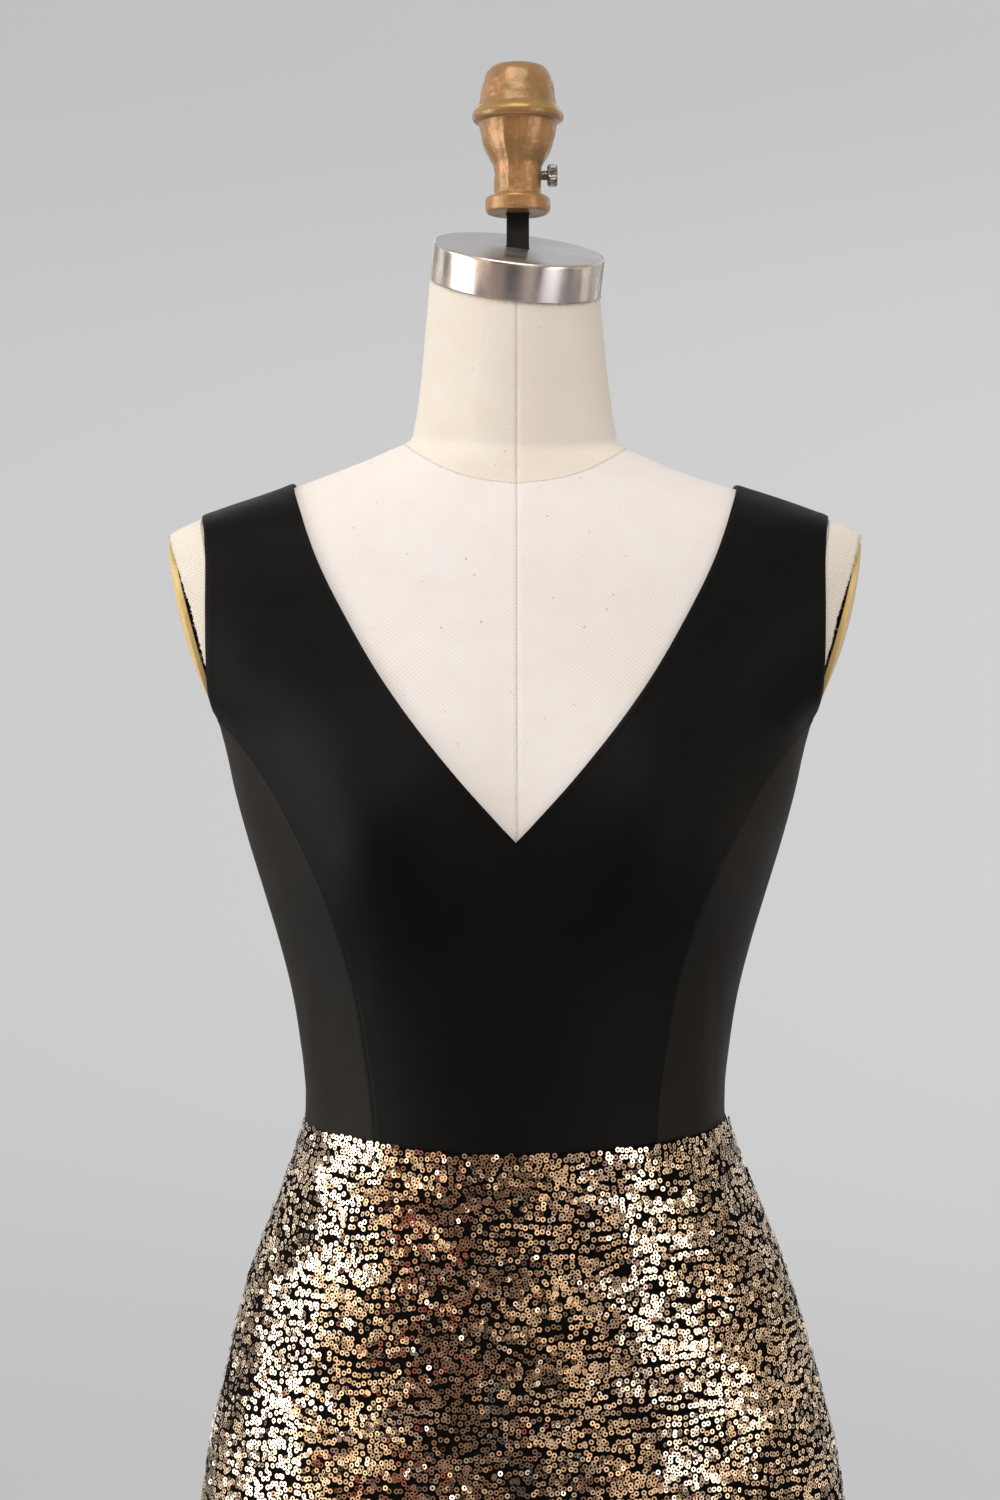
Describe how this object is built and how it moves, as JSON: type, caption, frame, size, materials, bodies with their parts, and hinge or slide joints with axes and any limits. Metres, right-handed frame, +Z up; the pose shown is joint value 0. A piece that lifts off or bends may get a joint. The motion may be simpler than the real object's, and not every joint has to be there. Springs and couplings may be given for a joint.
{
  "type": "sequin maxi dress on a dress form",
  "caption": "Sleeveless V-neck maxi dress with a plain black bodice and a gold sequin skirt, worn by a limbless linen dress form with a metal neck cap, finial, pole and round base.",
  "frame": {"origin": "on the floor under the middle of the whole dress, on the axis of the stand", "axes": "+Z up; the front of the dress faces -Y; +X to the viewer's right as seen from the front"},
  "size_m": [0.5167, 0.412, 1.6652],
  "materials": {
    "black_satin": "matt black satin-backed crepe with a soft sheen",
    "sequin_cloth": "black mesh covered with small glossy gold and bronze sequins",
    "zip_cloth": "black woven zip tape",
    "zip_enamel": "black enamel",
    "linen": "cream twill linen",
    "gold_paint": "satin gold paint",
    "brushed_metal": "brushed around",
    "black_metal": "satin black",
    "copper_paint": "copper paint on a rough casting, worn to yellow at its edges",
    "steel": "weathered"
  },
  "bodies": {
    "form": {"bodice_centre_front": "black_satin", "bodice_side_front_left": "black_satin", "bodice_side_front_right": "black_satin", "bodice_side_back_left": "black_satin", "bodice_side_back_right": "black_satin", "bodice_back_left": "black_satin", "bodice_back_right": "black_satin", "skirt_front": "sequin_cloth", "skirt_back_left": "sequin_cloth", "skirt_back_right": "sequin_cloth", "zip_tape": "zip_cloth", "zip_slider": "zip_enamel", "form_torso": "linen", "arm_plate_left": "gold_paint", "arm_plate_right": "gold_paint", "neck_cap": "brushed_metal", "neck_rod": "black_metal", "stand_pole": "black_metal", "stand_base": "black_metal"},
    "finial": {"finial": "copper_paint"},
    "screw": {"thumb_screw": "steel"},
    "pull": {"zip_pull": "zip_enamel"}
  },
  "joints": [
    {"name": "finial_slide", "type": "slide", "parent": "form", "child": "finial", "axis": [0, 0, 1], "range_m": [-0.006, 0.02]},
    {"name": "screw_turn", "type": "hinge", "parent": "finial", "child": "screw", "pos_m": [0.0015, -0.0165, 1.602], "axis": [1, 0, 0], "continuous": true},
    {"name": "pull_swing", "type": "hinge", "parent": "form", "child": "pull", "pos_m": [0, 0.11028, 1.314], "axis": [1, 0, 0], "range_deg": [0, 165]}
  ]
}
